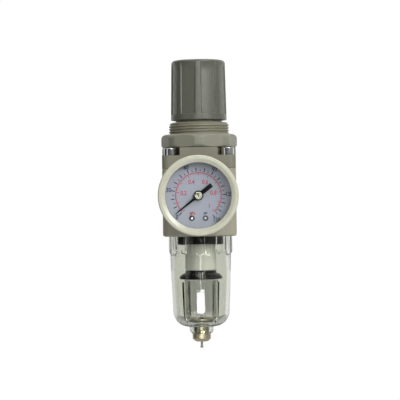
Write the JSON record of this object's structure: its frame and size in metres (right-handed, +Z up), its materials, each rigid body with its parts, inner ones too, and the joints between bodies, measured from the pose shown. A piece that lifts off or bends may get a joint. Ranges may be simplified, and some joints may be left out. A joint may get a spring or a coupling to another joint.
{
  "type": "filter regulator",
  "caption": "Compressed-air filter regulator with a ribbed knob, threaded panel collar, round pressure gauge and a clear bowl with a drain.",
  "frame": {"origin": "on the main axis in the plane of the ring nut's top face, where the exposed panel thread starts", "axes": "+Z up along the knob and bowl axis, -Y towards the gauge, +X towards the outlet port"},
  "size_m": [0.0422, 0.0748, 0.158],
  "materials": {
    "body_paint": "fine satin paint on cast aluminium",
    "bonnet_plastic": "fine moulded grain",
    "nut_plastic": "fine moulded grain",
    "knob_plastic": "satin moulded",
    "zinc_steel": "bright zinc",
    "spring_steel": "drawn wire",
    "steel": "turned",
    "brass": "turned",
    "black_rubber": "matte",
    "bowl_clear": "clear moulded",
    "deflector_black": "moulded",
    "element_white": "sintered",
    "baffle_black": "moulded",
    "bezel_ivory": "glossy moulded",
    "case_steel": "satin",
    "window_clear": "clear",
    "dial_white": "printed",
    "pointer_black": "matte",
    "guide_plastic": "moulded"
  },
  "bodies": {
    "housing": {"regulator_body": "body_paint", "bonnet": "bonnet_plastic", "ring_nut": "nut_plastic", "bonnet_screws": "zinc_steel", "diaphragm": "black_rubber", "main_spring": "spring_steel", "valve_spring": "spring_steel", "valve_guide": "guide_plastic", "valve_guide_o_ring": "black_rubber", "deflector": "deflector_black", "filter_element": "element_white", "baffle": "baffle_black", "rear_plug": "zinc_steel", "gauge_socket": "brass", "gauge_case": "case_steel", "gauge_bezel": "bezel_ivory", "gauge_window": "window_clear", "gauge_dial": "dial_white", "dial_screws": "zinc_steel", "gauge_stop_pin": "zinc_steel", "bourdon_tube": "brass", "movement_plates": "brass"},
    "adjuster": {"adjusting_screw": "steel", "thrust_washer": "guide_plastic", "screw_clip": "spring_steel"},
    "knob_body": {"knob": "knob_plastic"},
    "spring_nut_body": {"spring_nut": "brass"},
    "diaphragm_stack": {"diaphragm_plate": "steel", "diaphragm_hub": "brass"},
    "valve": {"valve_stem": "brass", "valve_rubber": "black_rubber"},
    "sector": {"sector_gear": "brass"},
    "pointer_body": {"pinion": "brass", "pointer": "pointer_black", "pointer_hub": "brass"},
    "bowl_seal": {"bowl_o_ring": "black_rubber"},
    "bowl_body": {"bowl": "bowl_clear", "drain_body": "brass", "drain_gasket": "black_rubber", "drain_nut": "brass", "drain_spring": "spring_steel"},
    "drain_pin": {"drain_stem": "brass", "drain_seal": "black_rubber"}
  },
  "joints": [
    {"name": "knob_turn", "type": "hinge", "parent": "housing", "child": "adjuster", "pos_m": [0, 0, 0.033], "axis": [0, 0, -1], "range_deg": [0, 1800]},
    {"name": "knob_lock", "type": "slide", "parent": "adjuster", "child": "knob_body", "axis": [0, 0, 1], "range_m": [-0.0011, 0]},
    {"name": "spring_nut_travel", "type": "slide", "parent": "housing", "child": "spring_nut_body", "axis": [0, 0, -1], "range_m": [0, 0.00625], "deforming": ["main_spring"]},
    {"name": "diaphragm_stroke", "type": "slide", "parent": "housing", "child": "diaphragm_stack", "axis": [0, 0, -1], "range_m": [0, 0.001], "stiffness_N_per_m": 1500, "deforming": ["diaphragm"]},
    {"name": "valve_lift", "type": "slide", "parent": "housing", "child": "valve", "axis": [0, 0, -1], "range_m": [0, 0.001], "deforming": ["valve_spring"]},
    {"name": "sector_swing", "type": "hinge", "parent": "housing", "child": "sector", "pos_m": [0, -0.04, -0.0447], "axis": [0, -1, 0], "range_deg": [0, 26], "stiffness_Nm_per_rad": 0.01},
    {"name": "pointer_turn", "type": "hinge", "parent": "housing", "child": "pointer_body", "pos_m": [0, -0.047, -0.0337], "axis": [0, 1, 0], "range_deg": [0, 260]},
    {"name": "bowl_draw", "type": "slide", "parent": "housing", "child": "bowl_seal", "axis": [0, 0, 1], "range_m": [-0.045, 0]},
    {"name": "bowl_turn", "type": "hinge", "parent": "bowl_seal", "child": "bowl_body", "pos_m": [0, 0, -0.0485], "axis": [0, 0, 1], "range_deg": [0, 1440]},
    {"name": "drain_push", "type": "slide", "parent": "bowl_body", "child": "drain_pin", "axis": [0, 0, 1], "range_m": [0, 0.0025], "stiffness_N_per_m": 200, "deforming": ["drain_spring"]}
  ],
  "couplings": [
    {"joint": "spring_nut_travel", "follows": "knob_turn", "m_per_rad": 0.00019894},
    {"joint": "valve_lift", "follows": "diaphragm_stroke", "ratio": 1},
    {"joint": "pointer_turn", "follows": "sector_swing", "ratio": 10}
  ]
}
